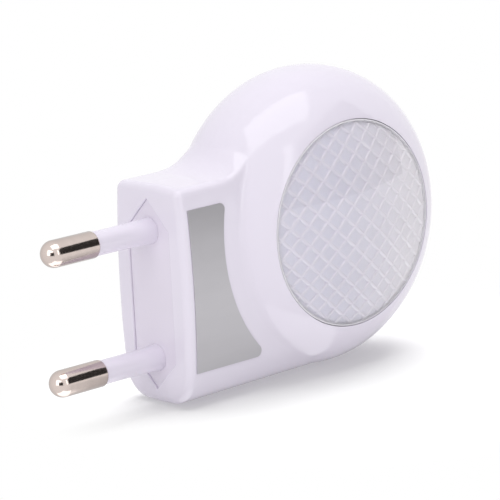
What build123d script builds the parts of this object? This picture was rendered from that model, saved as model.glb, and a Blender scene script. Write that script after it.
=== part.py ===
from build123d import *
import os
from math import cos, hypot, radians, sin, sqrt

# Plug in night light with a two-pin plug, two diffuser lenses and a 5 V outlet.
#
# Frame, in millimetres: the origin lies midway between the two pins, on the face of the plug insert.
# The pins point to -X, the disc-shaped head lies towards +X, its lenses face -Y and +Y, and +Z is up
# along the line that joins the pins. The casing is a clamshell, split at the plane y = 0.

os.makedirs("parts", exist_ok=True)

# ---------------------------------------------------------------- driving dimensions
# plug
pin_spacing = 19.0  # between the axes of the pins
pin_radius = 2.0  # bare metal tip
pin_reach = 19.5  # from the casing's rim to the tips
bare_length = 9.0  # metal that is left bare at the tip
core_radius = 1.35  # pin inside its sleeve
sleeve_radius = 1.8
sleeve_tail = 4.6  # sleeve behind the insert's face
core_tail = 8.6  # pin behind the insert's face
insert_recess = 0.3  # face of the insert behind the casing's rim
insert_half_width = 4.4
insert_straight = 9.8  # half of the straight edge between the pointed ends
insert_flange = 1.0  # lap behind the casing's end wall
flange_thickness = 1.5
flange_half_height = 13.7

# casing
wall = 1.8
end_wall = 2.0
neck_half_width = 7.8
neck_top = 16.45
neck_bottom = 16.3  # below the origin, at the rim
neck_bottom_drop = 0.12  # how much lower the bottom is under the head's centre
neck_crown = 0.3  # rise of the top and bottom between their corners
side_bulge = 0.9  # swell of the flat sides between top and bottom
top_corner = 1.4
inner_corner = 1.2  # of the cavity's top
bottom_corner = 4.8  # at the rim
bottom_flat_far = 1.2  # half of the flat between the bottom corners, under the head's centre
rim_round = 1.2
rim_edge_round = 0.2  # round the opening for the plug insert
blend_radius = 8.0  # hollow between the neck's top and the head, where the neck has room for it
hollow_rise = 2.0  # its corners meet the head this far above the neck's top
hollow_dive = 0.4  # fall, per length, of the neck's top line inside the head
hollow_overrun = 1.5  # length of that line past the hollow
hollow_steps = 8
crease_radius = 2.5  # between the neck's sides and the head
head_distance = 31.2  # from the rim to the head's axis
head_radius = 22.8
head_drop = 0.3  # lowest point of the head below the neck's underside
head_half_depth = 13.7  # of the full, untruncated oval
head_power = 2.23  # 2 is an ellipse, more is squarer

# lenses
lens_rim_plane = 10.6  # distance of the lens's rim from the middle plane
lens_land = 0.05  # flat left on the casing round the opening
lens_rise = 2.5
lens_thickness = 1.5
lens_edge_round = 0.35
seat_plane = 8.2  # ledge in the casing that the lens flange bears on
lens_flange = 1.5  # how far the flange stands out past the lens
lens_flange_thickness = 1.2

# boards
board_thickness = 1.2
board_margin = 1.4  # between the board and the head's wall
board_edge = 9.0  # left edge of the neck part
board_tongue_edge = 4.7
board_tongue_half = 4.6
board_low = 12.3
board_high = 13.4
led_board_margin = 2.6  # LED board's edge inside the lens's
led_board_thickness = 1.0
led_count = 6
led_circle_radius = 6.4
led_size = 3.0
led_height = 0.8
reflector_depth = 1.8
reflector_rim = 0.8
post_radius = 1.2
post_margin = 2.4  # centre of a post inside the LED board's edge
post_angles = (75, 165, 285)

# pegs that close the casing
peg_radius = 1.1
peg_length = 3.4
boss_radius = 1.75
boss_margin = 1.9  # centre of a boss inside the head's wall
boss_angles = (95, 256, 320)
neck_boss = (6.6, 0.0)

# lip along the seam, and ribs behind the plug insert
lip_height = 0.8
rib_thickness = 1.0
rib_inner_half = 3.6
rib_half_height = 7.0

# outlet
usb_width = 13.2
usb_height = 5.8
usb_depth = 13.2
usb_metal = 0.3
usb_mouth_setback = 1.4  # mouth behind the casing's outermost point
usb_tab_start = 2.0  # from the outlet's back
usb_tab_length = 3.0
usb_tab_width = 1.6

# dusk sensor
sensor_angle = 50
window_radius = 2.5
window_flange = 0.6
sensor_radius = 2.2
sensor_depth = 1.6

# contacts and links
contact_metal = 0.4
contact_floor = 0.3
contact_blade = 3.9
link_point = (30.7, -1.8)
link_pitch = 2.54
link_side = 0.64

# transformer
transformer_x = 14.2
transformer_z = 1.0
ferrite_height = 9.6
ferrite_length = 10.2
ferrite_depth = 4.6
ferrite_leg = 1.3
ferrite_window = 2.2
bobbin_width = 8.2
bobbin_wall = 0.5
bobbin_gap = 0.08
bobbin_shelf = 0.8  # shelf that laps the board's face beside the cut-out

# board components: places are (x, z), sizes are length, width and height
rectifier_point = (16.2, 10.4)
rectifier_size = (4.7, 3.9, 2.4)
chip_point = (24.0, 3.0)
chip_size = (4.9, 3.9, 1.5)
diode_point = (24.5, -6.0)
diode_size = (3.6, 4.4, 2.2)
input_can = (12.9, -9.0, 2.5, 11.0)  # start in x, height in z, radius and length
output_can = (1.2, 14.5, 2.0, 7.0)  # the same, from the head's axis
can_crimp = 1.0
resistor_point = (11.5, 9.6)
resistor_length = 7.0
resistor_radius = 1.4
resistor_cap = 1.1
disc_point = (15.5, -9.0)
disc_radius = 3.5
disc_thickness = 2.6
lead_metal = 0.2
lead_width = 0.6
lead_reach = 0.9

# outlet tongue
tongue_setback = 2.0
tongue_root = 3.0
tongue_offset = 1.2
tongue_thickness = 1.84
tongue_width = 11.1
usb_strip_length = 7.0
usb_strip_width = 1.0
usb_strip_places = (1.0, 3.5)  # to each side of the tongue's middle

# label
label_thickness = 0.15
label_near = 1.45  # first edge, from the rim
label_top = 13.1
label_bottom = 11.1
label_arc_margin = 0.6  # its hollow edge outside the head's circle
label_corner = 0.9

# clearances
insert_gap = 0.06  # insert in the casing's end wall
sleeve_gap = 0.04  # sleeve in the insert
core_gap = 0.03  # pin in its sleeve and in its contact
lens_gap = 0.1  # lens in its opening
part_gap = 0.2  # outlet and sensor in the casing
board_gap = 0.2  # board round what stands in its cut-outs
peg_gap = 0.08  # peg in its socket
seam_gap = 0.08  # lip in its groove


# ---------------------------------------------------------------- dependent sizes
def oval_radius(depth, inset):
    """Radius of the head's oval, drawn in by inset, at that depth from the middle plane."""
    share = (abs(depth) / (head_half_depth - inset)) ** head_power
    return (head_radius - inset) * (1 - share) ** (1 / head_power)


rim_x = -insert_recess
tip_x = rim_x - pin_reach
pin_z = pin_spacing / 2
head_x = rim_x + head_distance
head_height = head_radius - neck_bottom - head_drop
head_axis = Axis((head_x, 0, head_height), (0, 1, 0))
bottom_corner_far = neck_half_width - bottom_flat_far
board_half = board_thickness / 2
opening_radius = oval_radius(lens_rim_plane, 0) - lens_land
lens_radius = opening_radius - lens_gap
flange_radius = lens_radius + lens_flange
flange_inner_plane = seat_plane - lens_flange_thickness
led_face = flange_inner_plane - reflector_depth
led_back = led_face - led_board_thickness
led_board_radius = lens_radius - led_board_margin
post_circle_radius = led_board_radius - post_margin
board_radius = head_radius - wall - board_margin
boss_circle_radius = head_radius - wall - boss_margin
label_arc_radius = head_radius + label_arc_margin
cavity_start = rim_x + end_wall
neck_room = head_distance - rim_round
neck_rise = neck_top - head_height
blend_limit = (neck_room**2 - head_radius**2 + neck_rise**2) / (2 * (head_radius - neck_rise))
hollow_radius = min(blend_radius, blend_limit)
side_radius = ((neck_top - neck_crown) ** 2 + side_bulge**2) / (2 * side_bulge)


def side_depth(height, inset):
    """Half the neck's width at that height, drawn in by inset: its sides swell as arcs of one circle."""
    return neck_half_width - inset - side_radius + sqrt(side_radius**2 - height**2)


def neck_section(x, inset, high, shoulder, top_round):
    """Cross-section at x, drawn in by inset: shallow arcs, rounded corners, a top between these heights."""
    share = (x - rim_x) / head_distance
    low = -neck_bottom - neck_bottom_drop * share + inset
    bottom_round = bottom_corner + (bottom_corner_far - bottom_corner) * share - inset
    upper = (side_depth(shoulder - inset, inset), shoulder - inset)
    lower = (side_depth(low + neck_crown, inset), low + neck_crown)
    middle = neck_half_width - inset
    with BuildSketch(Plane.YZ.offset(x)) as section:
        with BuildLine():
            ThreePointArc((-lower[0], lower[1]), (-middle, 0), (-upper[0], upper[1]))
            ThreePointArc((-upper[0], upper[1]), (0, high - inset), upper)
            ThreePointArc(upper, (middle, 0), lower)
            ThreePointArc(lower, (0, low), (-lower[0], lower[1]))
        make_face()
        fillet(section.vertices().group_by(Axis.Y)[-1], top_round)
        fillet(section.vertices().group_by(Axis.Y)[0], bottom_round)
    return section.sketch


def neck_solid(start, inset):
    """Neck from start to the head's axis, drawn in by inset, with no hollow at its top."""
    with BuildPart() as neck:
        sections = [
            neck_section(x, inset, neck_top, neck_top - neck_crown, inner_corner) for x in (start, head_x)
        ]
        loft(sections, ruled=True)
    return neck.part


def hollow_ends(top, radius):
    """Where a line along the neck at that height leaves it, and meets a circle of that radius on the head."""
    reach = sqrt((radius + hollow_radius) ** 2 - (top + hollow_radius - head_height) ** 2)
    return head_x - reach, head_x - reach * radius / (radius + hollow_radius)


def hollow_height(x, top, radius):
    """Height at x of that line: level on the neck, hollow up to the head, then just inside its circle."""
    start, end = hollow_ends(top, radius)
    if x <= start:
        return top
    if x <= end:
        return top + hollow_radius - sqrt(hollow_radius**2 - (x - start) ** 2)
    return head_height + sqrt(radius**2 - (head_x - x) ** 2) - hollow_dive * (x - end)


def neck_form():
    """Outer form of the neck, whose crisp top edges sweep up the hollow and end in points on the head."""
    corner_top = neck_top - neck_crown
    corner_circle = oval_radius(side_depth(neck_top + hollow_rise, 0), 0)
    first = hollow_ends(neck_top, head_radius)[0]
    last = hollow_ends(corner_top, corner_circle)[1]
    places = [first + (last - first) * step / hollow_steps for step in range(hollow_steps + 1)]
    hollow_sections = [
        neck_section(
            x,
            0,
            hollow_height(x, neck_top, head_radius),
            hollow_height(x, corner_top, corner_circle),
            top_corner,
        )
        for x in places + [last + hollow_overrun]
    ]
    end_sections = [neck_section(x, 0, neck_top, corner_top, top_corner) for x in (rim_x, head_x)]
    with BuildPart() as neck:
        loft([end_sections[0], hollow_sections[0]], ruled=True)
        loft(hollow_sections)
        loft([hollow_sections[-1], end_sections[1]], ruled=True)
    return neck.part


def head_solid(inset, plane):
    """Oval head, drawn in by inset and cut flat at plus and minus plane."""
    steps = 6
    depths = [plane * sin(radians(90 * step / steps)) for step in range(-steps, steps + 1)]
    edge = oval_radius(plane, inset)
    with BuildPart() as head:
        with BuildSketch(Plane.XY.offset(head_height)) as profile:
            with BuildLine():
                Spline([(head_x + oval_radius(depth, inset), depth) for depth in depths])
                Polyline((head_x + edge, plane), (head_x, plane), (head_x, -plane), (head_x + edge, -plane))
            make_face()
        revolve(axis=head_axis)
    return head.part


def core_solid(inset, plane):
    """Neck and head together, drawn in by inset, with no hollow between them."""
    with BuildPart() as core:
        add(neck_solid(rim_x + inset, inset))
        add(head_solid(inset, plane))
    return core.part


def around_head(radius, angle):
    """Point (x, z) at that radius and angle about the head's axis."""
    return (head_x + radius * cos(radians(angle)), head_height + radius * sin(radians(angle)))


def mirrored(part, plane):
    """The part's reflection in that plane."""
    with BuildPart() as reflection:
        mirror(part, about=plane)
    return reflection.part


def hexagon(half_width):
    """Pointed hexagon of the plug, on a plane whose axes are Y and Z."""
    return [
        (half_width, insert_straight),
        (0, insert_straight + half_width),
        (-half_width, insert_straight),
        (-half_width, -insert_straight),
        (0, -insert_straight - half_width),
        (half_width, -insert_straight),
    ]


# ---------------------------------------------------------------- casing form
edge_tolerance = 0.08


def on_head(edge):
    """True where the middle of an edge lies on the head's oval, inside the neck's width."""
    middle = edge.position_at(0.5)
    if abs(middle.Y) > neck_half_width or middle.X > head_x:
        return False
    radius = hypot(middle.X - head_x, middle.Z - head_height)
    return abs(radius - oval_radius(middle.Y, 0)) < edge_tolerance


with BuildPart() as casing_form:
    add(neck_form())
    add(head_solid(0, lens_rim_plane))
    fillet(casing_form.edges().filter_by(on_head), crease_radius)
    fillet(casing_form.faces().sort_by(Axis.X)[0].edges(), rim_round)

# the cavity, with the ledges under the lens flanges
with BuildPart() as cavity:
    add(neck_solid(cavity_start, wall))
    add(head_solid(wall, seat_plane))
    with BuildSketch(Plane.XZ.offset(-seat_plane)):
        with Locations((head_x, head_height)):
            Circle(flange_radius + lens_gap)
    extrude(amount=2 * seat_plane)

# openings through the wall: lenses, plug insert, outlet and dusk sensor
usb_mouth = head_x + head_radius - usb_mouth_setback
usb_back = usb_mouth - usb_depth
sensor_front = oval_radius(window_radius + window_flange, wall) - insert_gap - window_flange
sensor_back = sensor_front - sensor_depth
sensor_direction = (cos(radians(sensor_angle)), 0, sin(radians(sensor_angle)))
sensor_plane = Plane(origin=(head_x, 0, head_height), x_dir=(0, 1, 0), z_dir=sensor_direction)
with BuildPart() as openings:
    with BuildSketch(Plane.XZ.offset(-lens_rim_plane - lens_rise)):
        with Locations((head_x, head_height)):
            Circle(opening_radius)
    extrude(amount=2 * (lens_rim_plane + lens_rise))
    with BuildSketch(Plane.YZ.offset(rim_x - wall)):
        with BuildLine():
            Polyline(hexagon(insert_half_width + insert_gap), close=True)
        make_face()
    extrude(amount=wall + end_wall)
    with BuildSketch(Plane.YZ.offset(usb_back)):
        with Locations((0, head_height)):
            RectangleRounded(usb_height + 2 * part_gap, usb_width + 2 * part_gap, 2 * part_gap)
    extrude(amount=usb_depth + 2 * wall)
    with BuildSketch(sensor_plane.offset(head_radius - 2 * wall)):
        Circle(window_radius + insert_gap)
    extrude(amount=4 * wall)

with BuildPart() as walls:
    add(casing_form.part)
    add(cavity.part, mode=Mode.SUBTRACT)
    add(openings.part, mode=Mode.SUBTRACT)
    end_face = walls.faces().sort_by(Axis.X)[0]
    fillet(end_face.inner_wires()[0].edges(), rim_edge_round)

# what may stand inside without showing outside
inside_form = core_solid(wall / 2, lens_rim_plane - wall / 2)

# ---------------------------------------------------------------- casing halves
boss_points = [around_head(boss_circle_radius, angle) for angle in boss_angles] + [neck_boss]
rib_back = cavity_start + flange_thickness + rib_thickness
boss_reach = head_half_depth


def inner_fittings(side):
    """Bosses and the ribs behind the insert's flange, for the half at that side of y = 0."""
    with BuildPart() as fittings:
        with BuildSketch(Plane.XZ.offset(-side * board_half)):
            with Locations(*boss_points):
                Circle(boss_radius)
        extrude(amount=-side * boss_reach)
        with BuildSketch(Plane.YZ.offset(rib_back - rib_thickness)):
            with Locations((side * (rib_inner_half + neck_half_width) / 2, 0)):
                Rectangle(neck_half_width - rib_inner_half, 2 * rib_half_height)
        extrude(amount=rib_thickness)
        add(inside_form, mode=Mode.INTERSECT)
    return fittings.part


with BuildPart() as lip:
    add(inside_form)
    add(cavity.part, mode=Mode.SUBTRACT)
    add(openings.part, mode=Mode.SUBTRACT)
    split(bisect_by=Plane.XZ, keep=Keep.BOTTOM)
    split(bisect_by=Plane.XZ.offset(-lip_height), keep=Keep.TOP)

with BuildPart() as shell_left:
    add(walls.part)
    split(bisect_by=Plane.XZ, keep=Keep.TOP)
    add(inner_fittings(-1))
    add(lip.part)
    with BuildSketch(Plane.XZ.offset(board_half)):
        with Locations(*boss_points):
            Circle(peg_radius)
    extrude(amount=-board_half - peg_length)
shell_left.part.label = "shell_left"
export_step(shell_left.part, "parts/shell_left.step")

with BuildPart() as groove:
    add(core_solid(wall / 2 - seam_gap, lens_rim_plane - wall / 2))
    split(bisect_by=Plane.XZ, keep=Keep.BOTTOM)
    split(bisect_by=Plane.XZ.offset(-lip_height - seam_gap), keep=Keep.TOP)

with BuildPart() as shell_right:
    add(walls.part)
    split(bisect_by=Plane.XZ, keep=Keep.BOTTOM)
    add(groove.part, mode=Mode.SUBTRACT)
    add(inner_fittings(1))
    with BuildSketch(Plane.XZ.offset(-board_half)):
        with Locations(*boss_points):
            Circle(peg_radius + peg_gap)
    extrude(amount=-peg_length - peg_gap, mode=Mode.SUBTRACT)
shell_right.part.label = "shell_right"
export_step(shell_right.part, "parts/shell_right.step")

# ---------------------------------------------------------------- plug
with BuildPart() as plug_insert:
    with BuildSketch(Plane.YZ):
        with BuildLine():
            Polyline(hexagon(insert_half_width), close=True)
        make_face()
    extrude(amount=cavity_start)
    with BuildSketch(Plane.YZ.offset(cavity_start)):
        with BuildLine():
            Polyline(hexagon(insert_half_width + insert_flange), close=True)
        make_face()
        Rectangle(2 * neck_half_width, 2 * flange_half_height, mode=Mode.INTERSECT)
    extrude(amount=flange_thickness)
    with BuildSketch(Plane.YZ):
        with Locations((0, pin_z), (0, -pin_z)):
            Circle(sleeve_radius + sleeve_gap)
    extrude(amount=cavity_start + flange_thickness, mode=Mode.SUBTRACT)
plug_insert.part.label = "plug_insert"
export_step(plug_insert.part, "parts/plug_insert.step")

bare_end = tip_x + bare_length
round_middle = pin_radius * (1 - sqrt(0.5))
with BuildPart() as plug_pin:
    with BuildSketch(Plane.XY.offset(pin_z)):
        with BuildLine():
            ThreePointArc(
                (tip_x, 0),
                (tip_x + round_middle, pin_radius - round_middle),
                (tip_x + pin_radius, pin_radius),
            )
            Polyline(
                (tip_x + pin_radius, pin_radius),
                (bare_end, pin_radius),
                (bare_end, core_radius),
                (core_tail, core_radius),
                (core_tail, 0),
                (tip_x, 0),
            )
        make_face()
    revolve(axis=Axis((0, 0, pin_z), (1, 0, 0)))

with BuildPart() as pin_sleeve:
    with BuildSketch(Plane.YZ.offset(bare_end)):
        with Locations((0, pin_z)):
            Circle(sleeve_radius)
            Circle(core_radius + core_gap, mode=Mode.SUBTRACT)
    extrude(amount=sleeve_tail - bare_end)

# contact: a cup on the pin's end that backs the sleeve, with a blade soldered to the board
cup_radius = core_radius + core_gap + contact_metal
with BuildPart() as contact:
    with BuildSketch(Plane.YZ.offset(sleeve_tail)):
        with Locations((0, pin_z)):
            Circle(cup_radius)
    extrude(amount=core_tail - sleeve_tail + contact_floor)
    with BuildSketch(Plane.XZ.offset(-board_half)):
        with Locations((core_tail, pin_z)):
            Rectangle(contact_blade, 2 * core_radius, align=(Align.MIN, Align.CENTER))
    extrude(amount=-contact_metal)
    with BuildSketch(Plane.YZ.offset(sleeve_tail)):
        with Locations((0, pin_z)):
            Circle(core_radius + core_gap)
    extrude(amount=core_tail - sleeve_tail, mode=Mode.SUBTRACT)

for name, piece in (("plug_pin", plug_pin), ("pin_sleeve", pin_sleeve), ("contact", contact)):
    for place, solid in (("upper", piece.part), ("lower", mirrored(piece.part, Plane.XY))):
        solid.label = f"{name}_{place}"
        export_step(solid, f"parts/{solid.label}.step")

# ---------------------------------------------------------------- lens stacks, one behind each lens
dome_radius = (lens_radius**2 + lens_rise**2) / (2 * lens_rise)


def dome_depth(radius):
    """Distance of the lens's outer face from the middle plane, at that radius."""
    return lens_rim_plane + lens_rise - dome_radius + sqrt(dome_radius**2 - radius**2)


skirt_radius = lens_radius - lens_thickness
with BuildPart() as lens:
    with BuildSketch(Plane.XY.offset(head_height)) as lens_profile:
        with BuildLine():
            ThreePointArc(
                (head_x, -dome_depth(0)),
                (head_x + lens_radius / 2, -dome_depth(lens_radius / 2)),
                (head_x + lens_radius, -lens_rim_plane),
            )
            Polyline(
                (head_x + lens_radius, -lens_rim_plane),
                (head_x + lens_radius, -seat_plane),
                (head_x + flange_radius, -seat_plane),
                (head_x + flange_radius, -flange_inner_plane),
                (head_x + skirt_radius, -flange_inner_plane),
                (head_x + skirt_radius, lens_thickness - dome_depth(skirt_radius)),
            )
            ThreePointArc(
                (head_x + skirt_radius, lens_thickness - dome_depth(skirt_radius)),
                (head_x + skirt_radius / 2, lens_thickness - dome_depth(skirt_radius / 2)),
                (head_x, lens_thickness - dome_depth(0)),
            )
            Line((head_x, lens_thickness - dome_depth(0)), (head_x, -dome_depth(0)))
        make_face()
        rim_corner = lens_profile.vertices().sort_by_distance((head_x + lens_radius, -lens_rim_plane, 0))[0]
        fillet(rim_corner, lens_edge_round)
    revolve(axis=head_axis)

reflector_base = led_circle_radius + led_size
with BuildPart() as reflector:
    with BuildSketch(Plane.XY.offset(head_height)):
        with BuildLine():
            Polyline(
                (head_x + flange_radius, -flange_inner_plane),
                (head_x + skirt_radius, -flange_inner_plane),
                (head_x + reflector_base, -led_face),
                (head_x + led_board_radius, -led_face),
                (head_x + flange_radius, reflector_rim - flange_inner_plane),
                close=True,
            )
        make_face()
    revolve(axis=head_axis)

with BuildPart() as led_board:
    with BuildSketch(Plane.XZ.offset(led_back)):
        with Locations((head_x, head_height)):
            Circle(led_board_radius)
    extrude(amount=led_board_thickness)

with BuildPart() as leds:
    with BuildSketch(Plane.XZ.offset(led_face)):
        with Locations((head_x, head_height)):
            with PolarLocations(led_circle_radius, led_count):
                Rectangle(led_size, led_size)
    extrude(amount=led_height)

with BuildPart() as standoffs:
    with BuildSketch(Plane.XZ.offset(board_half)):
        with Locations(*[around_head(post_circle_radius, angle) for angle in post_angles]):
            Circle(post_radius)
    extrude(amount=led_back - board_half)

with BuildPart() as link_pins:
    with BuildSketch(Plane.XZ.offset(board_half)):
        with Locations(link_point):
            with GridLocations(link_pitch, 0, 2, 1):
                Rectangle(link_side, link_side)
    extrude(amount=led_back - board_half)

lens_stack = (
    ("lens", lens),
    ("reflector", reflector),
    ("led_board", led_board),
    ("leds", leds),
    ("standoffs", standoffs),
    ("link_pins", link_pins),
)
for name, piece in lens_stack:
    for place, solid in (("left", piece.part), ("right", mirrored(piece.part, Plane.XZ))):
        solid.label = f"{name}_{place}"
        export_step(solid, f"parts/{solid.label}.step")

# ---------------------------------------------------------------- main board
transformer_point = (transformer_x, transformer_z)
with BuildPart() as main_board:
    with BuildSketch(Plane.XZ.offset(-board_half)):
        with Locations((board_edge, -board_low)):
            Rectangle(head_x - board_edge, board_low + board_high, align=Align.MIN)
        with Locations((board_tongue_edge, 0)):
            Rectangle(head_x - board_tongue_edge, 2 * board_tongue_half, align=(Align.MIN, Align.CENTER))
        with Locations((head_x, head_height)):
            Circle(board_radius)
        with Locations(transformer_point):
            Rectangle(bobbin_width + 2 * board_gap, ferrite_length + 2 * board_gap, mode=Mode.SUBTRACT)
        with Locations((usb_back - board_gap + usb_depth / 2, head_height)):
            Rectangle(usb_depth, usb_width + 2 * board_gap, mode=Mode.SUBTRACT)
        with Locations(*boss_points):
            Circle(peg_radius + peg_gap, mode=Mode.SUBTRACT)
    extrude(amount=board_thickness)
    with BuildSketch(sensor_plane.offset(sensor_back - board_gap)):
        Rectangle(2 * board_thickness, 2 * (sensor_radius + board_gap))
    extrude(amount=board_radius, mode=Mode.SUBTRACT)
main_board.part.label = "main_board"
export_step(main_board.part, "parts/main_board.step")

# ---------------------------------------------------------------- transformer, let into the board
with BuildPart() as transformer_core:
    with BuildSketch(Plane.YZ.offset(transformer_x - ferrite_depth / 2)):
        with Locations((0, transformer_z)):
            Rectangle(ferrite_height, ferrite_length)
            with GridLocations(ferrite_window + 2 * ferrite_leg, 0, 2, 1):
                Rectangle(ferrite_window, ferrite_length - 2 * ferrite_leg, mode=Mode.SUBTRACT)
    extrude(amount=ferrite_depth)
transformer_core.part.label = "transformer_core"
export_step(transformer_core.part, "parts/transformer_core.step")

bobbin_length = ferrite_length - 2 * ferrite_leg - 2 * bobbin_gap
bobbin_start = transformer_z - bobbin_length / 2
hole_width = ferrite_depth + 2 * bobbin_gap
hole_height = 2 * ferrite_leg + 2 * bobbin_gap
barrel_width = hole_width + 2 * bobbin_wall
barrel_height = hole_height + 2 * bobbin_wall
flange_height = 2 * ferrite_leg + 2 * ferrite_window - 2 * bobbin_gap
with BuildPart() as transformer_bobbin:
    for start in (bobbin_start, bobbin_start + bobbin_length - bobbin_wall):
        with BuildSketch(Plane.XY.offset(start)):
            with Locations((transformer_x, 0)):
                RectangleRounded(bobbin_width, flange_height, bobbin_wall)
        extrude(amount=bobbin_wall)
    with BuildSketch(Plane.XY.offset(bobbin_start)):
        with Locations((transformer_x, 0)):
            Rectangle(barrel_width, barrel_height)
    extrude(amount=bobbin_length)
    with BuildSketch(Plane.XY.offset(bobbin_start)):
        with Locations((transformer_x, -board_half - bobbin_shelf / 2)):
            with GridLocations(bobbin_width + bobbin_shelf - bobbin_wall / 2, 0, 2, 1):
                Rectangle(bobbin_shelf + bobbin_wall / 2, bobbin_shelf)
    extrude(amount=bobbin_length)
    with BuildSketch(Plane.XY.offset(bobbin_start)):
        with Locations((transformer_x, 0)):
            Rectangle(hole_width, hole_height)
    extrude(amount=bobbin_length, mode=Mode.SUBTRACT)
transformer_bobbin.part.label = "transformer_bobbin"
export_step(transformer_bobbin.part, "parts/transformer_bobbin.step")

with BuildPart() as transformer_winding:
    with BuildSketch(Plane.XY.offset(bobbin_start + bobbin_wall)):
        with Locations((transformer_x, 0)):
            RectangleRounded(
                bobbin_width - bobbin_wall,
                flange_height - bobbin_wall,
                2 * bobbin_wall,
            )
            Rectangle(barrel_width, barrel_height, mode=Mode.SUBTRACT)
    extrude(amount=bobbin_length - 2 * bobbin_wall)
transformer_winding.part.label = "transformer_winding"
export_step(transformer_winding.part, "parts/transformer_winding.step")


# ---------------------------------------------------------------- board components
def flat_chip(point, side, size, lead_pairs):
    """Moulded chip on the board's face at that side of y = 0, with flat leads under two edges."""
    length, width, height = size
    with BuildPart() as chip:
        with BuildSketch(Plane.XZ.offset(-side * board_half)):
            with Locations(point):
                with GridLocations(length / lead_pairs, width, lead_pairs, 2):
                    Rectangle(lead_width, 2 * lead_reach)
        extrude(amount=-side * lead_metal)
        with BuildSketch(Plane.XZ.offset(-side * (board_half + lead_metal))):
            with Locations(point):
                Rectangle(length, width)
        extrude(amount=-side * height)
    return chip.part


def lying_can(start_x, place_z, radius, length):
    """Electrolytic capacitor that lies along X on the board's +Y face, with its crimped neck."""
    axis_y = board_half + radius
    with BuildPart() as can:
        with BuildSketch(Plane.XY.offset(place_z)):
            with BuildLine():
                Polyline(
                    (start_x, axis_y),
                    (start_x, axis_y + radius),
                    (start_x + can_crimp, axis_y + radius),
                    (start_x + 1.5 * can_crimp, axis_y + radius - can_crimp / 4),
                    (start_x + 2 * can_crimp, axis_y + radius),
                    (start_x + length, axis_y + radius),
                    (start_x + length, axis_y),
                    close=True,
                )
            make_face()
        revolve(axis=Axis((start_x, axis_y, place_z), (1, 0, 0)))
    return can.part


resistor_y = -board_half - resistor_radius
with BuildPart() as fusible_resistor:
    with BuildSketch(Plane.YZ.offset(resistor_point[0])):
        with Locations((resistor_y, resistor_point[1])):
            Circle(resistor_radius - lead_metal)
    extrude(amount=resistor_length)
    for start in (resistor_point[0], resistor_point[0] + resistor_length - resistor_cap):
        with BuildSketch(Plane.YZ.offset(start)):
            with Locations((resistor_y, resistor_point[1])):
                Circle(resistor_radius)
        extrude(amount=resistor_cap)
fusible_resistor.part.label = "fusible_resistor"
export_step(fusible_resistor.part, "parts/fusible_resistor.step")

with BuildPart() as safety_capacitor:
    with BuildSketch(Plane.XZ.offset(board_half)):
        with Locations(disc_point):
            Circle(disc_radius)
    extrude(amount=disc_thickness)
    fillet(safety_capacitor.edges(), disc_thickness / 3)
safety_capacitor.part.label = "safety_capacitor"
export_step(safety_capacitor.part, "parts/safety_capacitor.step")

board_components = (
    ("bridge_rectifier", flat_chip(rectifier_point, 1, rectifier_size, 2)),
    ("control_chip", flat_chip(chip_point, -1, chip_size, 4)),
    ("output_diode", flat_chip(diode_point, -1, diode_size, 1)),
    ("input_capacitor", lying_can(*input_can)),
    ("output_capacitor", lying_can(head_x + output_can[0], head_height + output_can[1], *output_can[2:])),
)
for name, solid in board_components:
    solid.label = name
    export_step(solid, f"parts/{name}.step")

# ---------------------------------------------------------------- 5 V outlet
with BuildPart() as usb_shell:
    with BuildSketch(Plane.YZ.offset(usb_back)):
        with Locations((0, head_height)):
            RectangleRounded(usb_height, usb_width, 2 * usb_metal)
    extrude(amount=usb_depth)
    with BuildSketch(Plane.YZ.offset(usb_back + usb_metal)):
        with Locations((0, head_height)):
            RectangleRounded(usb_height - 2 * usb_metal, usb_width - 2 * usb_metal, usb_metal)
    extrude(amount=usb_depth, mode=Mode.SUBTRACT)
    with BuildSketch(Plane.XZ.offset(-board_half)):
        with Locations((usb_back + usb_tab_start, head_height)):
            with GridLocations(0, usb_width + usb_tab_width - usb_metal / 2, 1, 2):
                Rectangle(usb_tab_length, usb_tab_width + usb_metal / 2, align=(Align.MIN, Align.CENTER))
    extrude(amount=-usb_metal)
usb_shell.part.label = "usb_shell"
export_step(usb_shell.part, "parts/usb_shell.step")

tongue_start = usb_back + usb_metal
tongue_end = usb_mouth - tongue_setback
with BuildPart() as usb_tongue:
    with BuildSketch(Plane.YZ.offset(tongue_start)):
        with Locations((0, head_height)):
            RectangleRounded(
                usb_height - 2 * usb_metal - 2 * sleeve_gap,
                usb_width - 2 * usb_metal - 2 * sleeve_gap,
                usb_metal,
            )
    extrude(amount=tongue_root)
    with BuildSketch(Plane.YZ.offset(tongue_start)):
        with Locations((tongue_offset, head_height)):
            Rectangle(tongue_thickness, tongue_width)
    extrude(amount=tongue_end - tongue_start)
usb_tongue.part.label = "usb_tongue"
export_step(usb_tongue.part, "parts/usb_tongue.step")

with BuildPart() as usb_contacts:
    with BuildSketch(Plane.XZ.offset(tongue_thickness / 2 - tongue_offset)):
        for place in usb_strip_places:
            with Locations((tongue_start + tongue_root, head_height)):
                with GridLocations(0, 2 * place, 1, 2):
                    Rectangle(usb_strip_length, usb_strip_width, align=(Align.MIN, Align.CENTER))
    extrude(amount=lead_metal)
usb_contacts.part.label = "usb_contacts"
export_step(usb_contacts.part, "parts/usb_contacts.step")

# ---------------------------------------------------------------- dusk sensor
with BuildPart() as photocell:
    with BuildSketch(sensor_plane.offset(sensor_back)):
        Circle(sensor_radius)
    extrude(amount=sensor_depth)
    with BuildSketch(sensor_plane.offset(sensor_back)):
        with GridLocations(0, sensor_radius, 1, 2):
            Circle(lead_metal)
    extrude(amount=-board_gap)
photocell.part.label = "photocell"
export_step(photocell.part, "parts/photocell.step")

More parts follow.
